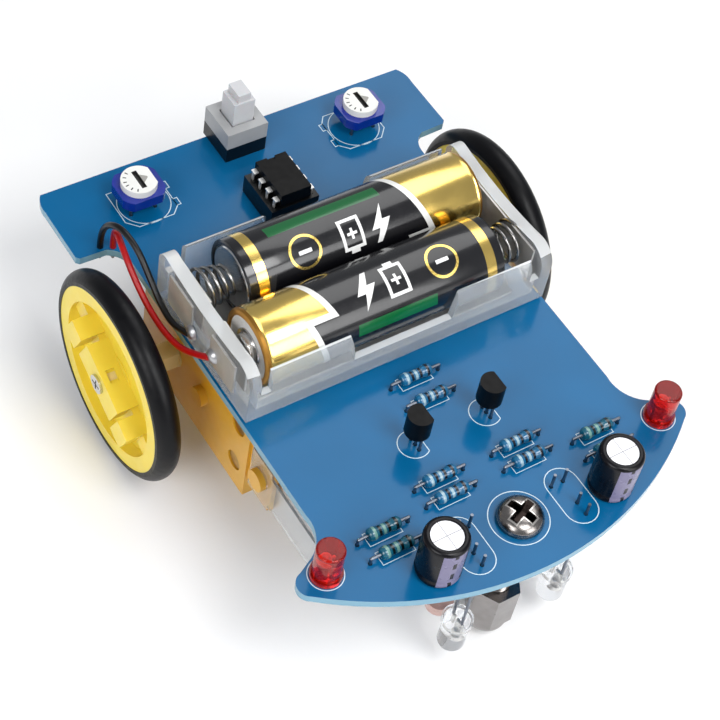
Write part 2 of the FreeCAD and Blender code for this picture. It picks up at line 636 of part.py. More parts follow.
def make_holder():
    floor = "tape_thick"
    node("holder_tape", block(("54", "24", "tape_thick"), ("0", "holder_y", "0")))

    holder = body_at("0", "holder_y", floor)
    half = dim("holder_deep") / 2
    tall = dim("holder_tall")
    saddle = 0.9
    # end profile: a round shoulder in front, a tight one behind, and a shallow dip between the cells
    profile = closed([
        (-half, 0), (half, 0), (half, tall - 2.0), ((half - 0.7, tall - 0.6), (half - 2.4, tall)),
        ((0, tall - saddle), (-half + 4.4, tall)), ((-half + 1.2, tall - 1.1), (-half, tall - 4.0)),
    ])
    length = pad(holder, sketch(holder, "YZ_Plane", [profile]), "holder_long")
    length.Midplane = True

    inner_x = dim("holder_long") / 2 - dim("holder_end")
    inner_y = half - dim("holder_wall")
    floor_z = dim("holder_floor")
    cavity = rectangle(-inner_x, inner_x, -inner_y, inner_y)
    pocket(holder, sketch(holder, "XY_Plane", [cavity], floor_z), "holder_tall", back=True)

    # windows through both long walls: a wide one in the middle and a slot beside each end wall
    top = tall + 1
    middle = closed([(-10.2, 5.3), (10.2, 5.3), (11.4, top), (-11.4, top)])
    slots = [rectangle(sign * (inner_x - 2.1), sign * inner_x, 6.4, top) for sign in SIDES.values()]
    windows = sketch(holder, "XZ_Plane", [middle, *slots])
    window = pocket(holder, windows, "holder_deep + 2")
    window.Midplane = True
    # a slit in the left end wall for the tongue of each terminal, and one in the right
    ways = [rectangle(y - 1.6, y + 1.6, 5.4, 6.8)
            for y in (-dim("cell_pitch") / 2, dim("cell_pitch") / 2)]
    slit = pocket(holder, sketch(holder, "YZ_Plane", ways), "holder_long")
    slit.Midplane = True
    node("battery_holder", holder)


def make_cells():
    """Two AA cells lying side by side, the front one with its button to the left."""
    radius, can, nub = dim("cell_radius"), dim("cell_can"), dim("cell_nub")
    lift = "tape_thick + holder_floor + cell_radius + 0.05"
    half = closed([
        (0, 0), (radius - 0.6, 0), ((radius - 0.18, 0.18), (radius, 0.6)), (radius, can - 1.0),
        ((radius - 0.3, can - 0.3), (radius - 1.0, can)), (2.75, can), (2.75, can + nub), (0, can + nub),
    ])
    for name, sign in (("front", -1), ("rear", 1)):
        turn = "+X" if sign > 0 else "-X"
        start = f"{sign} * (cell_shift - cell_can / 2)"
        node(f"battery_{name}", spun(start, f"holder_y + {sign} * cell_pitch / 2", lift, half, turn))


def make_contacts():
    lift = "tape_thick + holder_floor + cell_radius + 0.05"
    wall = "holder_long / 2 - holder_end"
    outer = "holder_long / 2"

    def plate(side, y, wide):
        return side_box(side, f"{wall} - plate_thick", wall, f"({y}) - ({wide}) / 2", f"({y}) + ({wide}) / 2",
                        f"{lift} - 4.6", f"{lift} + 2.6")

    for name, sign in (("positive", -1), ("negative", 1)):
        y = f"holder_y + {sign} * cell_pitch / 2"
        tongue = side_box(-1, f"{wall} - plate_thick / 2", f"{outer} + plate_thick / 2", f"{y} - 1.4",
                          f"{y} + 1.4", "tape_thick + 5.6", "tape_thick + 6.6")
        tab = side_box(-1, outer, f"{outer} + plate_thick", f"{y} - tab_wide / 2", f"{y} + tab_wide / 2",
                       "tape_thick + 3.2", "tape_thick + 3.2 + tab_tall")
        node(f"{name}_terminal", fuse([plate(-1, y, "10"), tongue, tab]))
    node("bridge_plate", plate(1, "holder_y", "26"))

    # a spring holds the flat end of each cell
    room = dim("holder_long") / 2 - dim("holder_end") - dim("plate_thick")
    length = room - (dim("cell_can") / 2 - dim("cell_shift"))
    centre_z = dim("deck_z") + dim("tape_thick") + dim("holder_floor") + dim("cell_radius") + 0.05
    springs = []
    for side in (-1, 1):
        y = dim("axle_y") + dim("holder_y") - side * dim("cell_pitch") / 2
        spring = doc.addObject("Part::Feature", "Spring")
        spring.Shape = coil(length, 3.9, 2.6, 4, 0.35)
        spring.Placement = FreeCAD.Placement(FreeCAD.Vector(side * room, y, centre_z),
                                             TURNS["+X" if side < 0 else "-X"])
        springs.append(spring)
    node("contact_springs", group(springs))


def coil(length, low_radius, top_radius, turns, wire):
    """A conical spring of round wire, standing on the origin, with its ends inside the length."""
    arcs_per_turn = 6

    def point(share):
        angle = 2 * math.pi * turns * share
        radius = low_radius + (top_radius - low_radius) * share
        return FreeCAD.Vector(radius * math.cos(angle), radius * math.sin(angle),
                              wire + (length - 2 * wire) * share)

    step = 1 / (turns * arcs_per_turn)
    path = Part.Wire([Part.Arc(point(count * step), point((count + 0.5) * step),
                               point((count + 1) * step)).toShape()
                      for count in range(turns * arcs_per_turn)])
    first = path.Edges[0]
    section = Part.Wire(Part.makeCircle(wire, point(0), first.tangentAt(first.FirstParameter)))
    return path.makePipeShell([section], True, True)


# ---- electronics -----------------------------------------------------------------------------

def make_switch():
    low = "switch_y"
    base = block(("switch_wide", "switch_wide", "switch_base_top"), ("0", low, "0"))
    well = block(("plunger_wide + 0.6", "plunger_wide + 0.6", "4"), ("0", low, "1.0"))
    node("switch_base", cut(base, [well]))
    cover = block(("switch_wide", "switch_wide", "switch_top - switch_base_top"),
                  ("0", low, "switch_base_top"))
    way = block(("plunger_wide + 0.6", "plunger_wide + 0.6", "8"), ("0", low, "switch_base_top - 1"))
    node("switch_cover", cut(cover, [way]))
    stem = block(("plunger_wide", "plunger_wide", "plunger_top - 3.6"), ("0", low, "3.6"))
    nub = block(("nub_wide", "plunger_wide - 0.6", "nub_top - 3.6"), ("0", low, "3.6"))
    node("switch_plunger", fuse([stem, nub]))


def make_chip():
    inset = "pin_pitch * 4"
    socket = block((inset, inset, "4.1"), ("0", "chip_y", "0.2"))
    trough = block(("4.2", "pin_pitch * 4 - 2.4", "4"), ("0", "chip_y", "1.2"))
    slots = [block(("1.0", "0.8", "2.2"), (x, y, "2.4")) for x, y in
             ((f"{end} * pin_row", f"chip_y + {step - 1.5} * pin_pitch")
              for end in (-1, 1) for step in range(4))]
    node("chip_socket", cut(socket, [trough, *slots]))
    chip = block(("chip_wide", "chip_long", "3.0"), ("0", "chip_y", "4.5"))
    notch = rod("0.9", "1", ("0", "chip_y + chip_long / 2", "7.0"))
    node("chip", cut(chip, [notch]))
    pins = []
    for end in (-1, 1):
        for step in range(4):
            y = f"chip_y + {step - 1.5} * pin_pitch"
            shoulder = side_box(end, "chip_wide / 2", "pin_row + 0.35", f"{y} - 0.6", f"{y} + 0.6",
                                "5.9", "6.15")
            leg = side_box(end, "pin_row + 0.1", "pin_row + 0.35", f"{y} - 0.25", f"{y} + 0.25", "2.6", "6.1")
            pins.append(fuse([shoulder, leg]))
    node("chip_pins", group(pins))


def straight_leads(places, top, bottom="-board_thick - 1.2"):
    """Plain legs through the board, one at each place."""
    return [rod("lead_radius", f"({top}) - ({bottom})", (str(x), str(y), bottom)) for x, y in places]


def make_trimmers():
    legs = straight_leads(LEADS["trimmer"], "trimmer_low")
    bodies = []
    for name, side in SIDES.items():
        x = f"{side} * trimmer_x"
        case = common([block(("trimmer_wide", "trimmer_deep", "dial_low - trimmer_low"),
                              (x, "trimmer_y", "trimmer_low")),
                       rod("trimmer_round", "dial_low - trimmer_low", (x, "trimmer_y", "trimmer_low"))])
        bodies.append(cut(case, [rod("1.25", "2", (x, "trimmer_y", "3.6"))]))
        disc = fuse([rod("dial_radius", "dial_top - dial_low", (x, "trimmer_y", "dial_low")),
                     rod("1.2", "dial_top - 3.8", (x, "trimmer_y", "3.8"))])
        flat = box(("4", "8", "4"), (f"{x} + 2.8", "trimmer_y - 4", "dial_low - 1"))
        slot = block(("0.9", "4.2", "1"), (x, "trimmer_y", "dial_top - 0.6"))
        node(f"trimmer_dial_{name}", cut(disc, [flat, slot]))
    node("trimmer_bodies", group(bodies))
    node("trimmer_legs", group(legs))


def make_transistors():
    cases = []
    for side in SIDES.values():
        x = f"{side} * transistor_x"
        barrel = rod("2.35", "transistor_tall", (f"{x} - 0.4", "transistor_y", "transistor_low"))
        keep = box(("5", "6", "6"), (f"{x} - 4.0", "transistor_y - 3", "transistor_low - 0.5"))
        cases.append(common([barrel, keep]))
    node("transistors", group(cases))
    node("transistor_leads", group(straight_leads(LEADS["transistor"], "transistor_low")))


def make_resistors():
    tubes, wires = [], []
    for x, y in RESISTORS:
        start = f"{x} - resistor_long / 2"
        barrel = rod("resistor_radius - 0.12", "resistor_long", (start, str(y), "resistor_rise"), "+X")
        ends = [rod("resistor_radius", "1.5", (f"{x} + {place_x}", str(y), "resistor_rise"), "+X")
                for place_x in ("resistor_long / 2 - 1.6", "(0.1 - resistor_long / 2)")]
        tubes.append(fuse([barrel, *ends]))
        for end in (-1, 1):
            tail = f"{x} + {end} * resistor_reach"
            low_x = f"{x} + resistor_long / 2" if end > 0 else tail
            flat = rod("lead_radius", "resistor_reach - resistor_long / 2", (low_x, str(y), "resistor_rise"), "+X")
            leg = rod("lead_radius", "resistor_rise + board_thick + 1.2", (tail, str(y), "resistor_rise"), "-Z")
            corner = ball("lead_radius", (tail, str(y), "resistor_rise"))
            wires.append(fuse([flat, leg, corner]))
    node("resistors", group(tubes))
    node("resistor_leads", group(wires))


def make_capacitors():
    radius, tall = dim("capacitor_radius"), dim("capacitor_top") - 0.2
    half = closed([
        (0, 0), (radius - 0.4, 0), ((radius - 0.1, 0.1), (radius, 0.4)), (radius, 1.4),
        ((radius - 0.35, 1.8), (radius, 2.2)), (radius, tall - 0.7),
        ((radius - 0.2, tall - 0.2), (radius - 0.7, tall)), (radius - 1.1, tall), (radius - 1.2, tall - 0.15),
        (0, tall - 0.15),
    ])
    cans = [spun(f"{side} * capacitor_x", "capacitor_y", "0.2", half) for side in SIDES.values()]
    node("capacitors", group(cans))


def led(x, y, z, turn):
    """A five millimetre lamp with a flat nose: a rim, a barrel and a rounded edge."""
    radius, tall, rim = dim("led_radius"), dim("led_long"), dim("led_radius") + 0.35
    half = closed([(0, 0), (rim, 0), (rim, 1.0), (radius, 1.0), (radius, tall - 0.4),
                   ((radius - 0.12, tall - 0.12), (radius - 0.4, tall)), (0, tall)])
    return spun(x, y, z, half, turn)


def make_lamps():
    node("indicator_leds", group([led(f"{side} * led_x", "led_y", "0.1", "+Z") for side in SIDES.values()]))
    node("short_leads", group([*straight_leads(LEADS["indicator"], "0.1"),
                               *straight_leads(LEADS["capacitor"], "0.2")]))
    node("sensor_leds", group([led(f"{side} * sensor_x", "sensor_y", "-sensor_drop", "-Z")
                               for side in SIDES.values()]))
    node("photo_cells", group([rod("2.5", "2.0", (f"{side} * cell_x", "cell_y", "-cell_drop"), "-Z")
                               for side in SIDES.values()]))
    node("sensor_leads", group([*straight_leads(LEADS["sensor"], "3.0", "-sensor_drop"),
                                *straight_leads(LEADS["photo"], "3.6", "-cell_drop")]))


# ---- wires -----------------------------------------------------------------------------------

def tube(points, radius):
    """Straight runs joined by tangent arcs, swept with a round section."""
    points = [FreeCAD.Vector(x, y + dim("axle_y"), z + dim("deck_z")) for x, y, z in points]
    edges, here, radii = [], points[0], []
    for before, corner, after in zip(points, points[1:], points[2:]):
        back, ahead = before - corner, after - corner
        reach = 0.45 * min(back.Length, ahead.Length)
        half_turn = (math.pi - back.getAngle(ahead)) / 2
        radii.append(reach / math.tan(half_turn))
        start = corner + back.normalize() * reach
        stop = corner + ahead.normalize() * reach
        middle = (start + stop) * 0.5
        inward = (middle - corner).normalize()
        centre = corner + inward * math.hypot(reach, radii[-1])
        edges += [Part.LineSegment(here, start), Part.Arc(start, centre - inward * radii[-1], stop)]
        here = stop
    edges.append(Part.LineSegment(here, points[-1]))
    path = Part.Wire([edge.toShape() for edge in edges])
    section = Part.Wire(Part.makeCircle(radius, points[0], points[1] - points[0]))
    solid = path.makePipeShell([section], True, True)
    share = solid.Volume / (math.pi * radius ** 2 * path.Length)
    print(f"radii {[round(value, 1) for value in radii]}, volume share {share:.3f}")
    return solid


def make_wires():
    for colour, points in ROUTES.items():
        wire = doc.addObject("Part::Feature", "Wire")
        wire.Shape = tube(points, dim("wire_radius"))
        node(f"{colour}_wire", wire)


# ---- build, check and write -----------------------------------------------------------------

make_board()
make_sides()
make_skid()
make_holder()
make_cells()
make_contacts()
make_switch()
make_chip()
make_trimmers()
make_transistors()
make_resistors()
make_capacitors()
make_lamps()
make_wires()
doc.recompute()

for item in doc.Objects:
    if "Invalid" in item.State or "Error" in item.State:
        raise RuntimeError(f"{item.Label} ({item.Name}) failed: {item.State}")
for name, item in nodes.items():
    if item.Shape.isNull() or not item.Shape.isValid() or not item.Shape.Solids:
        raise RuntimeError(f"{name} has no valid solid")

os.makedirs("parts", exist_ok=True)
for name, item in nodes.items():
    item.Shape.exportStep(f"parts/{name}.step")
print(f"{len(nodes)} nodes")
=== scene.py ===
import math

import bmesh
import bpy
from mathutils import Matrix, Vector


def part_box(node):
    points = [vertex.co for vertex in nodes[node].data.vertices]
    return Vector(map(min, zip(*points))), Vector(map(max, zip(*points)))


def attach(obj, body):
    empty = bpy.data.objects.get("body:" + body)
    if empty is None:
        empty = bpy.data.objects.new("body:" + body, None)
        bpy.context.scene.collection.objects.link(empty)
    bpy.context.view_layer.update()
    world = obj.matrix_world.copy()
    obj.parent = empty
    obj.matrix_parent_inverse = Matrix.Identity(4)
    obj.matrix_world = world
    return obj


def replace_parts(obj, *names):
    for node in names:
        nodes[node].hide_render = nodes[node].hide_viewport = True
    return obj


# Looks of the two wheel robot car. Blender's lengths are in metres, and MM turns millimetres into them.
MM = 0.001
AXLE_Y = 20.15
DECK_Z = 34.2
BOARD_THICK = 1.6

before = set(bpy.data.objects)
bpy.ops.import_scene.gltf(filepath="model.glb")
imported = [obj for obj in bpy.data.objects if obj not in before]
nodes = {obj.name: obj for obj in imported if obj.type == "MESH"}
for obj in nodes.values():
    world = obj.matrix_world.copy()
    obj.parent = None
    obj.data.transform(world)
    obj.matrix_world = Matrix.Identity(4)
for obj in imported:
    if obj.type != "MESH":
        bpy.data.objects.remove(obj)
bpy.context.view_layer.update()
scene = bpy.context.scene
scene.view_settings.view_transform = "Standard"


def at(x, y, z):
    """A place given in millimetres, along Y from the axle and along Z from the board's top."""
    return Vector((x, y + AXLE_Y, z + DECK_Z)) * MM


# ---- camera ----------------------------------------------------------------------------------

# metres, degrees round the car, above it and about the line of sight, and a lens in millimetres
CAMERA_AT = (-0.1472, -0.16165, 0.3028)
CAMERA_TURN = {"azimuth": -41.905, "elevation": 51.862, "roll": 12.206}
CAMERA_LENS = 96.96


def make_camera():
    azimuth, elevation, roll = (math.radians(angle) for angle in CAMERA_TURN.values())
    back = Vector((math.sin(azimuth) * math.cos(elevation), -math.cos(azimuth) * math.cos(elevation),
                   math.sin(elevation)))
    across = Vector((0, 0, 1)).cross(back).normalized()
    upward = back.cross(across)
    right = across * math.cos(roll) + upward * math.sin(roll)
    up = upward * math.cos(roll) - across * math.sin(roll)
    camera = bpy.data.objects.new("camera", bpy.data.cameras.new("camera"))
    camera.data.lens = CAMERA_LENS
    camera.data.clip_start = 0.01
    camera.matrix_world = Matrix.Translation(CAMERA_AT) @ Matrix((right, up, back)).transposed().to_4x4()
    scene.collection.objects.link(camera)
    scene.camera = camera


# ---- finishes --------------------------------------------------------------------------------

def tone(red, green, blue):
    """A linear colour from display values of 0 to 255."""
    return tuple((value / 255) ** 2.2 for value in (red, green, blue)) + (1.0,)


class Field:
    """A number that varies over a surface, kept as a node's output. Comparing gives 1 or 0."""

    def __init__(self, tree, socket):
        self.tree = tree
        self.socket = socket

    def math(self, operation, *others):
        node = self.tree.nodes.new("ShaderNodeMath")
        node.operation = operation
        for slot, value in zip(node.inputs, (self, *others)):
            if isinstance(value, Field):
                self.tree.links.new(value.socket, slot)
            else:
                slot.default_value = value
        return Field(self.tree, node.outputs[0])

    def __add__(self, other):
        return self.math("ADD", other)

    def __sub__(self, other):
        return self.math("SUBTRACT", other)

    def __mul__(self, other):
        return self.math("MULTIPLY", other)

    def __gt__(self, other):
        return self.math("GREATER_THAN", other)

    def __lt__(self, other):
        return self.math("LESS_THAN", other)

    def between(self, low, high):
        return (self > low) * (self < high)

    def either(self, other):
        return self.math("MAXIMUM", other)

    def spread(self, low, high, new_low, new_high):
        """The field stretched from one range to another, and held inside it."""
        node = self.tree.nodes.new("ShaderNodeMapRange")
        self.tree.links.new(self.socket, node.inputs["Value"])
        for name, value in (("From Min", low), ("From Max", high), ("To Min", new_low), ("To Max", new_high)):
            node.inputs[name].default_value = value
        return Field(self.tree, node.outputs["Result"])


class Finish:
    """A material on one Principled shader, mottled in colour and gloss and finely uneven.

    More sockets are set by name, such as coat_weight for Coat Weight. x, y and z are in millimetres.
    """

    def __init__(self, name, colour, rough, mottle=0.06, patch=300, grain=2500, relief=0.004, **sockets):
        self.material = bpy.data.materials.new(name)
        self.material.use_nodes = True
        self.tree = self.material.node_tree
        self.shader = self.tree.nodes["Principled BSDF"]
        for key, value in sockets.items():
            self.shader.inputs[key.replace("_", " ").title().replace("Ior", "IOR")].default_value = value
        place = self.tree.nodes.new("ShaderNodeTexCoord").outputs["Object"]
        split = self.tree.nodes.new("ShaderNodeSeparateXYZ")
        self.tree.links.new(place, split.inputs[0])
        self.place = place
        self.x, self.y, self.z = (Field(self.tree, split.outputs[axis]) * 1000 for axis in "XYZ")
        self.colour = None
        dark = tuple(value * (1 - mottle) for value in colour[:3]) + (1.0,)
        light = tuple(min(1.0, value * (1 + mottle)) for value in colour[:3]) + (1.0,)
        patches = self.noise(patch)
        self.paint(patches.spread(0.3, 0.7, 0, 1), light, under=dark)
        self.link(self.noise(patch * 3).spread(0.3, 0.7, rough * 0.85, min(1.0, rough * 1.15)), "Roughness")
        self.height = self.noise(grain) * relief

    def noise(self, scale, detail=3.0):
        node = self.tree.nodes.new("ShaderNodeTexNoise")
        node.inputs["Scale"].default_value = scale
        node.inputs["Detail"].default_value = detail
        self.tree.links.new(self.place, node.inputs["Vector"])
        return Field(self.tree, node.outputs[0])

    def link(self, field, socket):
        self.tree.links.new(field.socket, self.shader.inputs[socket])

    def paint(self, mask, colour, under=None):
        """Lay a colour over what is there, where the mask is 1."""
        mix = self.tree.nodes.new("ShaderNodeMix")
        mix.data_type = "RGBA"
        self.tree.links.new(mask.socket, mix.inputs["Factor"])
        if self.colour is None:
            mix.inputs["A"].default_value = under
        else:
            self.tree.links.new(self.colour, mix.inputs["A"])
        mix.inputs["B"].default_value = colour
        self.colour = mix.outputs["Result"]
        self.tree.links.new(self.colour, self.shader.inputs["Base Color"])
        return self

    def vary(self, mask, socket, plain, masked):
        """A socket that has one value in the open and another under the mask."""
        self.link(mask.spread(0, 1, plain, masked), socket)
        return self

    def raise_by(self, field):
        """Add to the surface's height, in millimetres."""
        self.height = self.height + field
        return self

    def angle(self, along, across):
        """Degrees round a line through along = 0 and across = 0."""
        return along.math("ARCTAN2", across) * (180 / math.pi)

    def done(self):
        bump = self.tree.nodes.new("ShaderNodeBump")
        bump.inputs["Distance"].default_value = MM
        self.tree.links.new(self.height.socket, bump.inputs["Height"])
        self.tree.links.new(bump.outputs[0], self.shader.inputs["Normal"])
        return self.material


def facing_up(finish):
    """1 on the flat top and bottom faces, and 0 on the edges."""
    split = finish.tree.nodes.new("ShaderNodeSeparateXYZ")
    normal = finish.tree.nodes.new("ShaderNodeNewGeometry").outputs["True Normal"]
    finish.tree.links.new(normal, split.inputs[0])
    return Field(finish.tree, split.outputs["Z"]).math("ABSOLUTE") > 0.7


def dress(finish, *names):
    """Give CAD nodes a material."""
    for name in names:
        slots = nodes[name].data.materials
        slots.clear()
        slots.append(finish)


def metal(name, colour, rough=0.28, **more):
    return Finish(name, colour, rough, metallic=1.0, **more)


# ---- mesh pieces -----------------------------------------------------------------------------

def made(name, mesh, materials, body="chassis", smooth=35, origin=(0, 0, 0), axis=None, up=(0, 0, 1)):
    """A finished piece from a bmesh, riding on a body. Its own Z lies on the axis and its own X upward."""
    data = bpy.data.meshes.new(name)
    mesh.normal_update()
    mesh.to_mesh(data)
    mesh.free()
    for material in materials:
        data.materials.append(material)
    data.shade_smooth()
    data.set_sharp_from_angle(angle=math.radians(smooth))
    piece = bpy.data.objects.new(name, data)
    scene.collection.objects.link(piece)
    piece.location = origin
    if axis is not None:
        along = Vector(axis)
        top = Vector(up) if abs(Vector(up).dot(along)) < 0.9 else Vector((1, 0, 0))
        turn = Matrix((top, along.cross(top), along)).transposed()
        piece.rotation_euler = turn.to_euler()
    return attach(piece, body)


def lathe(mesh, profile, origin, axis=(0, 0, 1), count=48):
    """Turn a profile of (radius, height, material) in millimetres about an axis through origin."""
    turn = Vector(axis).to_track_quat("Z", "Y").to_matrix()
    rings = []
    for row in profile:
        radius, height = row[:2]
        steps = 1 if radius == 0 else count
        rings.append([mesh.verts.new(Vector(origin) + turn @ Vector((
            radius * math.cos(2 * math.pi * step / count),
            radius * math.sin(2 * math.pi * step / count), height)) * MM) for step in range(steps)])
    for low, high, row in zip(rings, rings[1:], profile[1:]):
        for step in range(count):
            after = (step + 1) % count
            if len(low) == 1 and len(high) == 1:
                continue
            if len(low) == 1:
                corners = (low[0], high[after], high[step])
            elif len(high) == 1:
                corners = (low[step], low[after], high[0])
            else:
                corners = (low[step], low[after], high[after], high[step])
            mesh.faces.new(corners).material_index = row[2]


def slab(mesh, low, high, round_by=0.15, material=0):
    """A box between two corners with rounded edges, in metres but for the rounding."""
    low, high = Vector(low), Vector(high)
    corners = bmesh.ops.create_cube(mesh, size=1.0)["verts"]
    for vert in corners:
        vert.co = Vector(low[axis] if vert.co[axis] < 0 else high[axis] for axis in range(3))
    faces = {face for vert in corners for face in vert.link_faces}
    for face in faces:
        face.material_index = material
    edges = list({edge for face in faces for edge in face.edges})
    bmesh.ops.bevel(mesh, geom=edges, offset=round_by * MM, segments=2, profile=0.5, affect="EDGES",
                    clamp_overlap=True, material=-1)


def turned(name, profile, origin, materials, axis=(0, 0, 1), body="chassis", count=64, up=(0, 0, 1)):
    """A lathed piece whose own Z is its axis, with its own origin, so that finishes can follow it."""
    mesh = bmesh.new()
    lathe(mesh, profile, (0, 0, 0), count=count)
    return made(name, mesh, materials, body, origin=origin, axis=axis, up=up)


def islands(name):
    """The box of each loose solid in a CAD node, in order of its middle."""
    mesh = bmesh.new()
    mesh.from_mesh(nodes[name].data)
    bmesh.ops.remove_doubles(mesh, verts=mesh.verts, dist=1e-6)
    boxes, seen = [], set()
    for first in mesh.verts:
        if first in seen:
            continue
        seen.add(first)
        pending, found = [first], []
        while pending:
            vert = pending.pop()
            found.append(vert.co.copy())
            for edge in vert.link_edges:
                other = edge.other_vert(vert)
                if other not in seen:
                    seen.add(other)
                    pending.append(other)
        low = Vector(min(point[axis] for point in found) for axis in range(3))
        high = Vector(max(point[axis] for point in found) for axis in range(3))
        boxes.append((low, high))
    mesh.free()
    return sorted(boxes, key=lambda pair: (round(pair[0].y + pair[1].y, 5), pair[0].x))


def middle(pair):
    """The middle of a box given by its two corners."""
    return (pair[0] + pair[1]) / 2


# ---- wires -----------------------------------------------------------------------------------

# The route's points, in millimetres from the axle and the board's top: the hole in the board comes first,
# and the tab of the contact last.
WIRES = {
    "black": [(-35.1, 18.1, 0.0), (-35.1, 18.1, 5.6), (-34.2, 13.8, 10.2), (-33.3, 8.4, 9.4),
              (-33.1, 3.6, 5.9), (-33.2, -1.0, 3.3), (-33.2, -5.8, 2.8), (-32.55, -9.4, 4.7)],
    "red": [(-33.0, 17.1, 0.0), (-33.0, 17.1, 4.6), (-34.2, 13.6, 7.8), (-35.1, 9.0, 7.2),
            (-35.1, 4.4, 4.2), (-34.8, -0.4, 1.6), (-34.5, -5.8, 0.9), (-33.9, -11.2, 2.2),
            (-32.55, -16.4, 6.2)],
}
WIRE_DIAMETER = 0.0012
# the outer face of the tabs that the wires are soldered to
TAB_X = -31.85


def make_wires():
    sleeves = {"black": tone(12, 12, 14), "red": tone(158, 8, 16)}
    for colour, points in WIRES.items():
        curve = bpy.data.curves.new(f"{colour}_lead", "CURVE")
        curve.dimensions = "3D"
        curve.resolution_u = 24
        curve.bevel_depth = WIRE_DIAMETER / 2
        curve.bevel_resolution = 6
        curve.use_fill_caps = True
        line = curve.splines.new("NURBS")
        line.points.add(len(points) - 1)
        for knot, point in zip(line.points, points):
            knot.co = (*at(*point), 1.0)
        line.order_u = 3
        line.use_endpoint_u = True
        sleeve = Finish(f"{colour}_sleeve", sleeves[colour], 0.32, mottle=0.1, patch=900,
                        specular_ior_level=0.4)
        curve.materials.append(sleeve.done())
        piece = bpy.data.objects.new(f"{colour}_lead", curve)
        scene.collection.objects.link(piece)
        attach(piece, "chassis")
        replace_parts(piece, f"{colour}_wire")
        at(*points[0])


make_camera()
make_wires()


# ---- board -----------------------------------------------------------------------------------

def dress_board():
    mask = Finish("solder_mask", tone(14, 91, 137), 0.15, mottle=0.05, patch=60, grain=700, relief=0.0012,
                  specular_ior_level=0.25)
    edge = facing_up(mask).math("SUBTRACT", 1.0).math("ABSOLUTE")
    mask.paint(edge, tone(112, 152, 172))
    dress(mask.done(), "circuit_board")


# Where parts stand, in millimetres from the car's middle line and from the axle. Pairs are mirrored.
TRIMMER_AT = (23.0, 24.0)
TRANSISTOR_AT = (7.5, -44.4)
LAMP_AT = (34.7, -59.3)
SENSORS_AT = (10.75, -65.7)
SKID_Y = -65.2
CHIP_Y = 13.6
CHIP_PITCH = 2.54
CHIP_ROW_X = 3.81
SWITCH_Y = 30.6
SWITCH_PITCH = 2.2
LEAD_RADIUS = 0.28


class Ink:
    """Flat printed lines just above the board."""

    def __init__(self):
        self.mesh = bmesh.new()
        self.level = 0.03

    def line(self, points, wide=0.17, close=False):
        """A line through points in millimetres, mitred at its corners."""
        points = [Vector((x, y)) for x, y in points]
        if close:
            points.append(points[0])
        pairs = []
        for number, point in enumerate(points):
            before = points[number - 1] if number else (points[-2] if close else None)
            after = points[number + 1] if number + 1 < len(points) else (points[1] if close else None)
            ways = [(end - start).normalized() for start, end in ((before, point), (point, after))
                    if start and end]
            way = (ways[0] + ways[-1]).normalized()
            side = Vector((-way.y, way.x)) * wide / 2 / max(0.5, way.dot(ways[0]))
            pairs.append([self.mesh.verts.new(at(*(point + side * sign), self.level)) for sign in (1, -1)])
        for first, second in zip(pairs, pairs[1:]):
            self.mesh.faces.new((*first, *second[::-1]))

    def arc(self, x, y, radius, start=0, stop=360, wide=0.17):
        count = max(8, round(abs(stop - start) / 7))
        angles = [math.radians(start + (stop - start) * step / count) for step in range(count + 1)]
        self.line([(x + radius * math.cos(angle), y + radius * math.sin(angle)) for angle in angles], wide)

    def capsule(self, x, y, wide, tall):
        """A line round an upright shape with half-round ends."""
        radius = wide / 2
        reach = tall / 2 - radius
        points = []
        for start, shift in ((0, reach), (180, -reach)):
            for step in range(13):
                angle = math.radians(start + 180 * step / 12)
                points.append((x + radius * math.cos(angle), y + shift + radius * math.sin(angle)))
        self.line(points, close=True)


def box_corners(low_x, low_y, high_x, high_y):
    return [(low_x, low_y), (high_x, low_y), (high_x, high_y), (low_x, high_y)]


def make_ink():
    """The outlines printed round the trimmers, sensors, transistors, lamps, skid screw and resistors."""
    ink = Ink()
    trimmer = [(28.3, 21.2), (28.3, 28.8), (18.9, 28.8), (17.7, 27.2), (17.7, 20.8), (19.3, 19.2),
               (26.4, 19.2)]
    trimmer_pads = [box_corners(16.9, low_y, 17.7, low_y + 1.7) for low_y in (20.9, 25.4)]
    radius, flat = 2.9, 1.7
    start = math.degrees(math.acos(flat / radius))
    reach = radius * math.sin(math.radians(start))
    for side in (-1, 1):
        ink.arc(TRIMMER_AT[0] * side, TRIMMER_AT[1], 5.0)
        for corners in (trimmer, *trimmer_pads):
            ink.line([(side * x, y) for x, y in corners], close=True)
        ink.capsule(SENSORS_AT[0] * side, SENSORS_AT[1], 6.2, 11.8)
        x, y = TRANSISTOR_AT[0] * side - 0.2, TRANSISTOR_AT[1]
        ink.arc(x, y, radius, start, 360 - start)
        ink.line([(x + flat, y - reach), (x + flat, y + reach)])
        ink.arc(LAMP_AT[0] * side, LAMP_AT[1], 3.1)
    ink.arc(0, SKID_Y, 5.35)
    for pair in islands("resistors"):
        x, y = middle(pair).x / MM, middle(pair).y / MM - AXLE_Y
        ink.line(box_corners(x - 3.2, y - 1.3, x + 3.2, y + 1.3), 0.14, True)
    white = Finish("white_ink", tone(196, 216, 226), 0.6, mottle=0.05, patch=2000)
    made("printed_outlines", ink.mesh, [white.done()])


def resistor_of(low, high):
    """The box of the resistor that a lead belongs to."""
    spot = (low + high) / 2
    return min(islands("resistors"), key=lambda pair: (middle(pair) - spot).length)


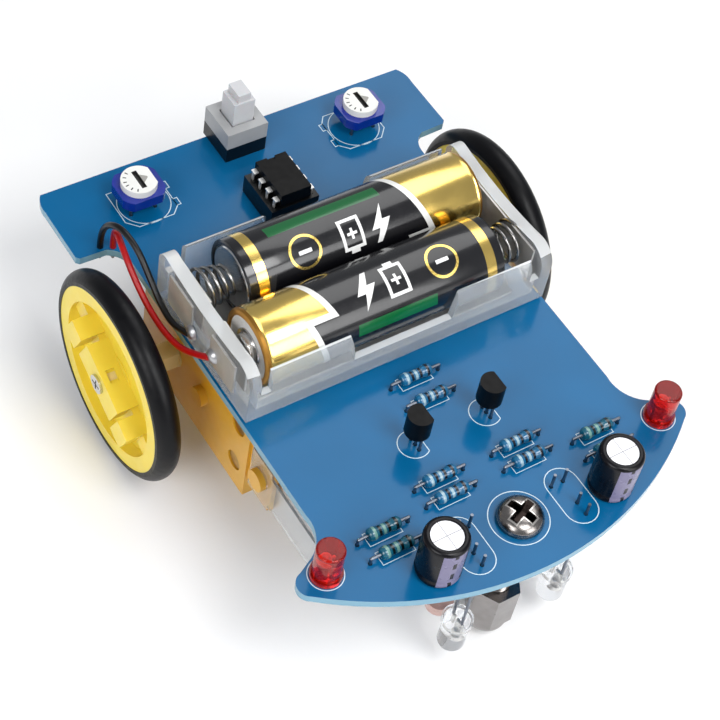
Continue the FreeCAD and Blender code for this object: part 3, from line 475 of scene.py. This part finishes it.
def make_solder():
    """A cone of solder under each lead, and a bead where each battery wire meets its tab."""
    tin = metal("solder", tone(176, 176, 178), 0.36, mottle=0.14, patch=1500, relief=0.03).done()
    mesh = bmesh.new()
    groups = ("transistor_leads", "short_leads", "sensor_leads", "trimmer_legs")
    spots = {middle(pair).xy.to_tuple(5) for name in groups for pair in islands(name)}
    for low, high in islands("resistor_leads"):
        body = middle(resistor_of(low, high))
        end = high.x - LEAD_RADIUS * MM if body.x < low.x else low.x + LEAD_RADIUS * MM
        spots.add((round(end, 5), round(low.y + LEAD_RADIUS * MM, 5)))
    below = Vector((0, 0, (DECK_Z - BOARD_THICK) * MM))
    beneath = [Vector((*spot, 0)) + below for spot in sorted(spots)]
    for side in (-1, 1):
        beneath += [at(side * CHIP_ROW_X, CHIP_Y + CHIP_PITCH * (step - 1.5), -BOARD_THICK)
                    for step in range(4)]
        beneath += [at(side * SWITCH_PITCH, SWITCH_Y + SWITCH_PITCH * step, -BOARD_THICK)
                    for step in (-1, 0, 1)]
    beneath += [at(*points[0][:2], -BOARD_THICK) for points in WIRES.values()]
    drop = [(0.95, 0.0, 0), (0.9, 0.12, 0), (0.55, 0.5, 0), (0.36, 1.0, 0), (0.3, 1.25, 0), (0, 1.3, 0)]
    for spot in beneath:
        lathe(mesh, drop, spot, axis=(0, 0, -1), count=16)
    bead = [(1.5, 0, 0), (1.4, 0.25, 0), (1.05, 0.7, 0), (0.6, 0.95, 0), (0, 1.05, 0)]
    for points in WIRES.values():
        lathe(mesh, bead, at(TAB_X, *points[-1][1:]), axis=(-1, 0, 0), count=24)
    made("solder_joints", mesh, [tin])


# ---- cells -----------------------------------------------------------------------------------

CELL_RADIUS = 7.1
CELL_LONG = 49.2
SIGN_LIFT = 0.035
GOLD = tone(250, 214, 118)
# Where the sleeve's printing lies, in millimetres along the cell and degrees round it: the border, its
# slant, where it steps and by how much, the strip's middle and its two ends, and the middle of the signs.
CELL_PRINTS = {
    "front": {"border": 36.3, "slant": 0.04, "step_at": -35, "step": 5.1, "strip": -74, "from": 14.7,
              "to": 31.0, "signs": -22},
    "rear": {"border": 29.9, "slant": 0.045, "step_at": 78, "step": 4.4, "strip": -11, "from": 7.0,
             "to": 30.0, "signs": 38},
}
# A lightning bolt, and the outline of a cell with a plus in it, in millimetres about their middles.
BOLT = [(0.5, 3.4), (-2.1, -0.5), (-0.4, -0.5), (-1.2, -3.4), (2.1, 0.9), (0.4, 0.9), (1.5, 3.4)]
CELL_SIGN = [
    box_corners(-2.2, -2.9, 2.2, -2.3),
    box_corners(-2.2, 2.3, 2.2, 2.9),
    box_corners(-2.2, -2.3, -1.6, 2.3),
    box_corners(1.6, -2.3, 2.2, 2.3),
    box_corners(-0.9, 2.9, 0.9, 3.6),
    box_corners(-1.0, -0.25, 1.0, 0.25),
    box_corners(-0.25, 0.25, 0.25, 1.0),
    box_corners(-0.25, -1.0, 0.25, -0.25),
]
MINUS_SIGN = [box_corners(-1.3, -0.35, 1.3, 0.35)]


def sleeve_finish(name, look):
    """The printed metal sleeve of a cell: black print, a white stepped border, bare gold, a green strip."""
    sleeve = Finish(f"sleeve_{name}", tone(20, 20, 23), 0.22, mottle=0.04, patch=90, grain=500, relief=0.002,
                    coat_weight=0.4, coat_roughness=0.06)
    around = sleeve.angle(sleeve.y, sleeve.x)
    along = sleeve.z
    low_line = around * look["slant"] + look["border"]
    line = low_line + (around < look["step_at"]) * look["step"]
    half_border = 0.6
    bare = (along - line > 0.0).either(along.between(1.9, 3.9))
    near = (along - line).math("ABSOLUTE") < half_border
    beside = (around - look["step_at"]).math("ABSOLUTE") < 4.5
    joining = beside * (along - low_line > -half_border) * (along - low_line < look["step"] + half_border)
    green = (around - look["strip"]).math("ABSOLUTE") < 10
    sleeve.paint(green * along.between(look["from"], look["to"]), tone(14, 92, 48))
    sleeve.paint(bare, GOLD)
    white = near.either(joining)
    sleeve.paint(white, tone(226, 226, 222))
    sleeve.vary(bare - white, "Metallic", 0.0, 1.0)
    sleeve.raise_by(white * 0.01)
    return sleeve.done()


def wrapped(name, outlines, cell, look, material, shift):
    """Flat outlines in millimetres, cut into narrow strips and laid round the sleeve just above it."""
    mesh = bmesh.new()
    for outline in outlines:
        mesh.faces.new([mesh.verts.new((x, y, 0)) for x, y in outline])
    for step in range(-8, 9):
        everything = [*mesh.verts, *mesh.edges, *mesh.faces]
        bmesh.ops.bisect_plane(mesh, geom=everything, plane_co=(0, step * 0.5, 0), plane_no=(0, 1, 0))
    bmesh.ops.triangulate(mesh, faces=mesh.faces)
    reach = CELL_RADIUS + SIGN_LIFT
    for vert in mesh.verts:
        angle = math.radians(look["signs"]) + vert.co.y / CELL_RADIUS
        vert.co = Vector((reach * math.cos(angle), reach * math.sin(angle), shift - vert.co.x)) * MM
    piece = made(name, mesh, [material], origin=cell.location)
    piece.rotation_euler = cell.rotation_euler
    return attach(piece, "chassis")


def ring_outlines(inner, outer, count=36):
    """A flat ring as a chain of four-sided outlines."""
    outlines = []
    for step in range(count):
        start, stop = (2 * math.pi * (step + turn) / count for turn in (0, 1))
        places = ((inner, start), (outer, start), (outer, stop), (inner, stop))
        outlines.append([(radius * math.cos(angle), radius * math.sin(angle)) for radius, angle in places])
    return outlines


def make_cells():
    """The two cells, lathed from the flat end to the button, with generic signs on their sleeves."""
    steel = metal("cell_steel", tone(208, 206, 204), 0.22, mottle=0.08, patch=600).done()
    fibre = Finish("cell_washer", tone(206, 204, 200), 0.5, mottle=0.08, patch=900).done()
    lip = metal("sleeve_lip", tone(176, 128, 62), 0.4, mottle=0.1, patch=900).done()
    white = Finish("sign_white", tone(232, 232, 230), 0.4, mottle=0.04, patch=1500).done()
    gold = metal("sign_gold", GOLD, 0.28, mottle=0.06, patch=900).done()
    radius, long = CELL_RADIUS, CELL_LONG
    flat_end = [(0, 0.3, 1), (4.6, 0.3, 1), (5.0, 0.12, 1), (5.7, 0.12, 1), (5.9, 0.3, 1), (6.2, 0.3, 0),
                (6.3, 0.05, 0), (6.7, 0.0, 0), (7.0, 0.2, 0)]
    side = [(radius, 0.6, 0), (radius, 12, 0), (radius, 24, 0), (radius, 36, 0), (radius, 47.6, 0),
            (radius - 0.12, 48.0, 0), (radius, 48.4, 0)]
    rim = [(radius - 0.2, long - 0.25, 3), (radius - 0.6, long, 3), (6.0, long, 3), (5.8, long - 0.35, 3)]
    washer = [(5.2, long - 0.4, 2), (3.6, long - 0.4, 2)]
    button = [(3.5, long - 0.15, 1), (2.95, long - 0.1, 1), (2.75, long + 0.1, 1), (2.7, long + 0.75, 1),
              (2.45, long + 1.0, 1), (0, long + 1.0, 1)]
    profile = flat_end + side + rim + washer + button
    for name, sign in (("front", -1), ("rear", 1)):
        look = CELL_PRINTS[name]
        low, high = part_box(f"battery_{name}")
        start_x = high.x if sign < 0 else low.x
        origin = Vector((start_x, (low.y + high.y) / 2, (low.z + high.z) / 2))
        cell = turned(f"cell_{name}", profile, origin, [sleeve_finish(name, look), steel, fibre, lip],
                      axis=(sign, 0, 0), count=96)
        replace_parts(cell, f"battery_{name}")
        wrapped(f"bolt_sign_{name}", [BOLT], cell, look, white, 27.6)
        wrapped(f"cell_sign_{name}", CELL_SIGN, cell, look, white, 21.6)
        wrapped(f"ring_sign_{name}", ring_outlines(2.7, 3.2), cell, look, gold, 12.0)
        wrapped(f"minus_sign_{name}", MINUS_SIGN, cell, look, white, 12.0)


# ---- small electronics -----------------------------------------------------------------------

def make_capacitors():
    """Sleeved cans with a crimped foot, a pale stripe of dashes and a scored top, its score lines darkened
    with painted shade.
    """
    sleeve = Finish("capacitor_sleeve", tone(14, 13, 18), 0.28, mottle=0.06, patch=120,
                    specular_ior_level=0.25)
    off_stripe = (sleeve.angle(sleeve.y, sleeve.x) + 97).math("ABSOLUTE")
    stripe = off_stripe < 33
    level = (sleeve.z + 0.6).math("MODULO", 3.0)
    dash = (off_stripe < 5) * level.between(0.6, 2.2)
    side = sleeve.z.between(0.6, 9.7)
    sleeve.paint(stripe * side, tone(112, 108, 134))
    sleeve.paint(dash * side, tone(24, 22, 30))
    vent = Finish("capacitor_top", tone(232, 232, 236), 0.42, mottle=0.03, patch=500, metallic=0.35)
    score = (vent.x.math("ABSOLUTE") < 0.07).either(vent.y.math("ABSOLUTE") < 0.07)
    # painted shade: the score lines darkened as grooves in shade; the grooves themselves are a bump
    vent.paint(score, tone(150, 150, 156))
    vent.raise_by(score * -0.1)
    foot = [(0, 0.2, 0), (3.4, 0.2, 0), (3.85, 0.35, 0), (4.0, 0.8, 0), (4.0, 1.3, 0), (3.8, 1.6, 0),
            (3.78, 1.8, 0), (4.0, 2.1, 0)]
    top = [(4.0, 5.8, 0), (4.0, 9.5, 0), (3.92, 9.95, 0), (3.7, 10.22, 0), (3.4, 10.36, 0), (3.05, 10.38, 0),
           (2.8, 10.26, 0), (2.76, 10.16, 1), (0, 10.16, 1)]
    materials = [sleeve.done(), vent.done()]
    for number, pair in enumerate(islands("capacitors"), start=1):
        spot = middle(pair)
        spot.z = DECK_Z * MM
        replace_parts(turned(f"capacitor_{number}", foot + top, spot, materials), "capacitors")


def make_resistors():
    """Dumb-bell bodies with five bands. Those far from the middle line are a deeper green blue."""
    # coat, dark band and light band
    looks = {"pale": (tone(26, 92, 130), tone(8, 19, 34), tone(140, 168, 180)),
             "deep": (tone(22, 84, 104), tone(8, 20, 24), tone(104, 146, 138))}
    finishes = {}
    for key, (coat, dark, light) in looks.items():
        body = Finish(f"resistor_{key}", coat, 0.26, mottle=0.12, patch=900, coat_weight=0.5)
        for spot, colour in ((-2.1, light), (-1.05, dark), (-0.2, light), (0.65, dark), (2.1, dark)):
            body.paint((body.z - spot).math("ABSOLUTE") < 0.26, colour)
        finishes[key] = body.done()
    half = [(0.5, 3.15, 0), (0.85, 3.08, 0), (1.1, 2.8, 0), (1.17, 2.4, 0), (1.17, 1.9, 0), (1.08, 1.55, 0),
            (0.98, 1.3, 0), (0.95, 0.9, 0)]
    profile = [(0, -3.15, 0), *[(radius, -height, slot) for radius, height, slot in half], *half[::-1],
               (0, 3.15, 0)]
    for number, pair in enumerate(islands("resistors"), start=1):
        spot = middle(pair)
        key = "deep" if abs(spot.x) > 15 * MM else "pale"
        piece = turned(f"resistor_{number}", profile, spot, [finishes[key]], axis=(1, 0, 0), count=32)
        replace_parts(piece, "resistors")


def make_lamp_insides():
    """The two metal posts inside each lamp, one with the cup that holds the die."""
    steel = metal("lamp_frame", tone(214, 212, 208), 0.3, mottle=0.08, patch=900).done()
    die = Finish("lamp_die", tone(232, 196, 70), 0.4, mottle=0.1, patch=3000).done()
    cup_profile = [(0, 0, 0), (0.7, 0, 0), (1.0, 0.9, 0), (0.85, 0.9, 0), (0.5, 0.3, 1), (0, 0.3, 1)]
    for group, tall in (("indicator_leds", 1), ("sensor_leds", -1)):
        mesh = bmesh.new()
        for low, high in islands(group):
            spot = (low + high) / 2
            base = low.z if tall > 0 else high.z
            across = Vector((1, 0, 0)) if tall > 0 else Vector((0, 1, 0))
            for sign, wide, top in ((-1, 0.9, 3.9), (1, 0.35, 3.4)):
                centre = spot + across * sign * 0.85 * MM
                ends = [base + tall * value * MM for value in (0.3, top)]
                reach = Vector((wide if across.x else 0.25, wide if across.y else 0.25, 0)) * MM
                slab(mesh, Vector((centre.x, centre.y, min(ends))) - reach,
                     Vector((centre.x, centre.y, max(ends))) + reach, 0.05)
            cup = Vector((spot.x, spot.y, base + tall * 3.8 * MM)) - across * 0.75 * MM
            lathe(mesh, cup_profile, cup, axis=(0, 0, tall), count=24)
        made(f"{group}_frames", mesh, [steel, die])


# degrees that the cross in the skid screw's head is turned
CROSS_TURN = 20


def make_bolt():
    """The skid's pan-head screw, with a cross recess and a threaded shank. The recess has a painted highlight
    round its rim and painted shade inside.
    """
    steel = metal("bolt_nickel", tone(138, 133, 130), 0.24, mottle=0.1, patch=300)
    turn = math.radians(CROSS_TURN)
    across = steel.x * math.cos(turn) + steel.y * math.sin(turn)
    along = steel.y * math.cos(turn) - steel.x * math.sin(turn)
    across, along = across.math("ABSOLUTE"), along.math("ABSOLUTE")

    def recess(wide, reach):
        cross = ((across < wide) * (along < reach)).either((along < wide) * (across < reach))
        return cross * (steel.z > 0.3)

    # painted highlight: a light band round the rim of the cross recess
    steel.paint(recess(1.0, 2.95), tone(214, 208, 202))
    # painted shade: the inside of the cross recess darkened
    steel.paint(recess(0.72, 2.66), tone(46, 40, 38))
    steel = steel.done()
    low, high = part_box("skid_screw")
    spot = Vector((*middle((low, high)).xy, DECK_Z * MM))
    mesh = bmesh.new()
    lathe(mesh, [(0, 0, 0), (4.1, 0, 0), (4.2, 0.25, 0), (4.18, 0.8, 0), (3.95, 1.4, 0), (3.45, 1.95, 0),
                 (2.8, 2.3, 0), (1.9, 2.52, 0), (1.0, 2.58, 0), (0, 2.6, 0)], (0, 0, 0), count=64)
    cross = bmesh.new()
    rings = []
    for reach, wide, height in ((1.2, 0.5, 0.7), (2.9, 0.82, 2.75)):
        corner = [(wide, wide), (wide, reach), (-wide, reach)]
        turns = [Matrix.Rotation(math.radians(90 * quarter + CROSS_TURN), 3, "Z") for quarter in range(4)]
        rings.append([cross.verts.new(turn @ Vector((x, y, height)) * MM)
                      for turn in turns for x, y in corner])
    low_ring, high_ring = rings
    cross.faces.new(high_ring)
    cross.faces.new(low_ring[::-1])
    for step in range(len(low_ring)):
        after = (step + 1) % len(low_ring)
        cross.faces.new((low_ring[step], low_ring[after], high_ring[after], high_ring[step]))
    head = carved("skid_head", mesh, cross, spot, steel)
    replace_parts(head, "skid_screw")
    shank = bmesh.new()
    profile, level = [(0, 0, 0)], 0.0
    drop = (DECK_Z * MM - low.z) / MM - 0.4
    while level < drop:
        profile += [(2.05, -level, 0), (2.42, -level - 0.4, 0)]
        level += 0.8
    profile += [(2.0, -drop - 0.3, 0), (0, -drop - 0.3, 0)]
    lathe(shank, profile, spot, count=32)
    made("skid_shank", shank, [steel], smooth=20)


def carved(name, mesh, cutter, origin, material):
    """A piece from the first mesh less the second."""
    pair = []
    for part in (mesh, cutter):
        data = bpy.data.meshes.new(name)
        part.normal_update()
        bmesh.ops.recalc_face_normals(part, faces=part.faces)
        part.to_mesh(data)
        part.free()
        pair.append(bpy.data.objects.new(f"{name}_{len(pair)}", data))
        scene.collection.objects.link(pair[-1])
    remove = pair[0].modifiers.new("cut", "BOOLEAN")
    remove.operation = "DIFFERENCE"
    remove.object = pair[1]
    evaluated = pair[0].evaluated_get(bpy.context.evaluated_depsgraph_get())
    result = bmesh.new()
    result.from_mesh(evaluated.to_mesh())
    for item in pair:
        bpy.data.objects.remove(item)
    return made(name, result, [material], origin=origin, smooth=30)


# ---- stage -----------------------------------------------------------------------------------

def make_stage():
    """The floor, the pale surroundings and four soft lamps."""
    mesh = bmesh.new()
    bmesh.ops.create_grid(mesh, x_segments=1, y_segments=1, size=3.0)
    data = bpy.data.meshes.new("floor")
    mesh.to_mesh(data)
    mesh.free()
    paper = Finish("floor_paper", tone(244, 244, 244), 0.9, mottle=0.01, patch=5, grain=800, relief=0.02)
    data.materials.append(paper.done())
    floor = bpy.data.objects.new("floor", data)
    scene.collection.objects.link(floor)

    world = bpy.data.worlds.new("studio")
    scene.world = world
    world.use_nodes = True
    world.node_tree.nodes["Background"].inputs["Color"].default_value = tone(240, 244, 250)
    world.node_tree.nodes["Background"].inputs["Strength"].default_value = 0.38
    # place, size and power
    lamps = {
        "softbox": ((0.33, 0.19, 0.62), 0.5, 1.9),
        "overhead": ((0.02, -0.25, 0.42), 0.2, 1.15),
        "left": ((-0.52, -0.2, 0.4), 0.35, 2.1),
        "front": ((0.15, -0.6, 0.3), 0.35, 1.8),
    }
    for name, (spot, size, power) in lamps.items():
        light = bpy.data.lights.new(name, "AREA")
        light.size = size
        light.energy = power
        lamp = bpy.data.objects.new(name, light)
        lamp.location = spot
        lamp.rotation_euler = (Vector((0, 0, 0.03)) - Vector(spot)).to_track_quat("-Z", "Y").to_euler()
        scene.collection.objects.link(lamp)


# ---- finishes of the CAD nodes ---------------------------------------------------------------

def dial_finish(name):
    """White plastic with a slot and an arrow across the dial, and a few ticks near its edge. The slot is
    darkened with painted shade.
    """
    dial = Finish(f"dial_{name}", tone(226, 224, 218), 0.38, mottle=0.03, patch=300, subsurface_weight=0.05)
    node = nodes[f"trimmer_dial_{name}"]
    low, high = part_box(node.name)
    centre = node.matrix_world.inverted() @ ((low + high) / 2)
    x, y = dial.x - centre.x / MM - 0.3, dial.y - centre.y / MM
    across, along = x.math("ABSOLUTE"), y.math("ABSOLUTE")
    radius = (x * x + y * y).math("SQRT")
    around = dial.angle(y, x)
    tick = (around.math("ABSOLUTE").math("MODULO", 24.0) < 5.0) * radius.between(2.35, 3.0) * (x < -0.6)
    arrow = x.between(0.4, 1.7) * (along + x * 0.8 < 1.5)
    dial.paint(tick, tone(34, 34, 36))
    dial.paint(arrow, tone(150, 146, 140))
    # painted shade: the cut slot darkened, as shade at its bottom
    dial.paint((across < 0.5) * (along < 2.2), tone(44, 42, 42))
    return dial.done()


def edge_round(width, *names):
    """Round the sharp edges of CAD nodes as they are drawn."""
    for name in names:
        edge = nodes[name].modifiers.new("round", "BEVEL")
        edge.width = width * MM
        edge.segments = 2
        edge.limit_method = "ANGLE"
        edge.angle_limit = math.radians(38)
        edge.use_clamp_overlap = True
        edge.harden_normals = False


def dress_wheels():
    lemon = Finish("wheel_yellow", tone(236, 210, 70), 0.36, mottle=0.04, patch=160, grain=1800, relief=0.006,
                   subsurface_weight=0.12, coat_weight=0.08)
    lemon.shader.inputs["Subsurface Scale"].default_value = 0.001
    lemon = lemon.done()
    rubber = Finish("black_rubber", tone(9, 9, 13), 0.4, mottle=0.1, patch=300, grain=2200, relief=0.006,
                    specular_ior_level=0.2).done()
    shaft = Finish("shaft_plastic", tone(232, 208, 146), 0.4, mottle=0.04, patch=300,
                   subsurface_weight=0.1).done()
    for side in ("left", "right"):
        dress(lemon, f"wheel_hub_{side}")
        dress(rubber, f"tyre_{side}")
        dress(shaft, f"output_gear_{side}")
        edge_round(0.3, f"wheel_hub_{side}")


def dress_motors():
    amber = Finish("gearbox_yellow", tone(212, 158, 44), 0.34, mottle=0.05, patch=160, grain=1800,
                   relief=0.008, subsurface_weight=0.1, coat_weight=0.15)
    amber.shader.inputs["Subsurface Scale"].default_value = 0.001
    amber = amber.done()
    gear = Finish("gear_white", tone(226, 224, 216), 0.4, mottle=0.03, patch=300).done()
    copper = metal("copper_wire", tone(190, 110, 64), 0.35, mottle=0.15, patch=900).done()
    can = metal("motor_steel", tone(206, 204, 204), 0.36, mottle=0.06, patch=260).done()
    brass = metal("brass", tone(212, 178, 96), 0.3, mottle=0.1, patch=500).done()
    clear = Finish("clear_strap", tone(244, 247, 248), 0.08, mottle=0.02, patch=200, transmission_weight=0.92,
                   ior=1.2).done()
    foam = Finish("foam_tape", tone(232, 230, 222), 0.85, mottle=0.08, patch=1500, grain=3500,
                  relief=0.12).done()
    for side in ("left", "right"):
        dress(amber, f"gearbox_case_{side}", f"gearbox_cover_{side}")
        dress(gear, f"middle_gear_{side}", f"crown_gear_{side}")
        dress(copper, f"rotor_{side}")
        dress(can, f"motor_can_{side}")
        edge_round(0.25, f"gearbox_case_{side}", f"gearbox_cover_{side}")
    dress(gear, "motor_caps")
    dress(brass, "motor_terminals")
    dress(clear, "motor_straps")
    dress(foam, "motor_tapes", "holder_tape")


def dress_metals():
    bright = metal("bright_nickel", tone(206, 205, 204), 0.24, mottle=0.06, patch=500).done()
    dark = metal("dark_nickel", tone(146, 142, 140), 0.22, mottle=0.1, patch=400).done()
    zinc = metal("yellow_zinc", tone(190, 150, 80), 0.34, mottle=0.14, patch=900).done()
    spring = metal("spring_steel", tone(150, 148, 146), 0.24, mottle=0.08, patch=500).done()
    sheet = Finish("contact_sheet", tone(190, 188, 184), 0.42, mottle=0.1, patch=260, grain=1200,
                   relief=0.02, metallic=0.7).done()
    tinned = metal("tinned_wire", tone(116, 121, 130), 0.34, mottle=0.1, patch=900).done()
    pins = Finish("chip_pin", tone(226, 226, 224), 0.4, mottle=0.05, patch=900, metallic=0.7).done()
    dress(bright, "wheel_screw_left", "wheel_screw_right")
    dress(dark, "skid_screw", "skid_nuts", "skid_cap_nut", "gear_pins")
    dress(zinc, "gearbox_screws")
    dress(spring, "contact_springs")
    dress(sheet, "bridge_plate", "positive_terminal", "negative_terminal")
    dress(pins, "chip_pins")
    dress(tinned, "resistor_leads", "short_leads", "sensor_leads", "transistor_leads", "trimmer_legs")
    edge_round(0.12, "chip_pins", "positive_terminal", "negative_terminal", "skid_nuts")


# the holder's upward faces above this height are the rims of its walls, made less clear so that they look
# whiter than the walls: a painted highlight on the wall tops
RIM_ABOVE = DECK_Z + 4.0


def dress_plastics():
    black = Finish("black_plastic", tone(11, 11, 12), 0.34, mottle=0.08, patch=300, relief=0.006,
                   specular_ior_level=0.4).done()
    white = Finish("white_plastic", tone(190, 190, 193), 0.4, mottle=0.03, patch=300,
                   subsurface_weight=0.1).done()
    grey = Finish("grey_plastic", tone(156, 157, 158), 0.42, mottle=0.04, patch=300, coat_weight=0.1).done()
    blue = Finish("trimmer_blue", tone(10, 38, 134), 0.22, mottle=0.06, patch=300, coat_weight=0.4).done()
    frost = Finish("frosted_plastic", tone(248, 250, 250), 0.12, mottle=0.01, patch=120, grain=900,
                   relief=0.003, ior=1.14)
    # painted highlight: the wall tops made less clear, so that they show whiter
    rim = facing_up(frost) * (frost.z > RIM_ABOVE)
    frost.vary(rim, "Transmission Weight", 0.83, 0.5)
    frost = frost.done()
    red = Finish("red_lens", tone(204, 34, 26), 0.08, mottle=0.04, patch=300, transmission_weight=0.78,
                 ior=1.35).done()
    water = Finish("clear_lens", tone(250, 251, 252), 0.03, mottle=0.01, patch=600, transmission_weight=0.88,
                   ior=1.25).done()
    sensor = Finish("light_cell", tone(186, 150, 140), 0.3, mottle=0.12, patch=900, coat_weight=0.6).done()
    resin = Finish("chip_resin", tone(10, 9, 9), 0.4, mottle=0.1, patch=260, grain=900, relief=0.01,
                   specular_ior_level=0.16).done()
    dress(resin, "chip", "transistors")
    dress(black, "chip_socket", "switch_base")
    dress(white, "switch_plunger")
    dress(grey, "switch_cover")
    dress(blue, "trimmer_bodies")
    dress(frost, "battery_holder")
    dress(red, "indicator_leds")
    dress(water, "sensor_leds")
    dress(sensor, "photo_cells")
    for side in ("left", "right"):
        dress(dial_finish(side), f"trimmer_dial_{side}")
        edge_round(0.2, f"trimmer_dial_{side}")
    edge_round(0.3, "chip", "transistors", "switch_cover", "switch_plunger", "trimmer_bodies")
    edge_round(0.2, "battery_holder", "chip_socket", "switch_base")


dress_board()
make_ink()
make_solder()
dress_wheels()
dress_motors()
dress_metals()
dress_plastics()
make_cells()
make_capacitors()
make_resistors()
make_lamp_insides()
make_bolt()
make_stage()
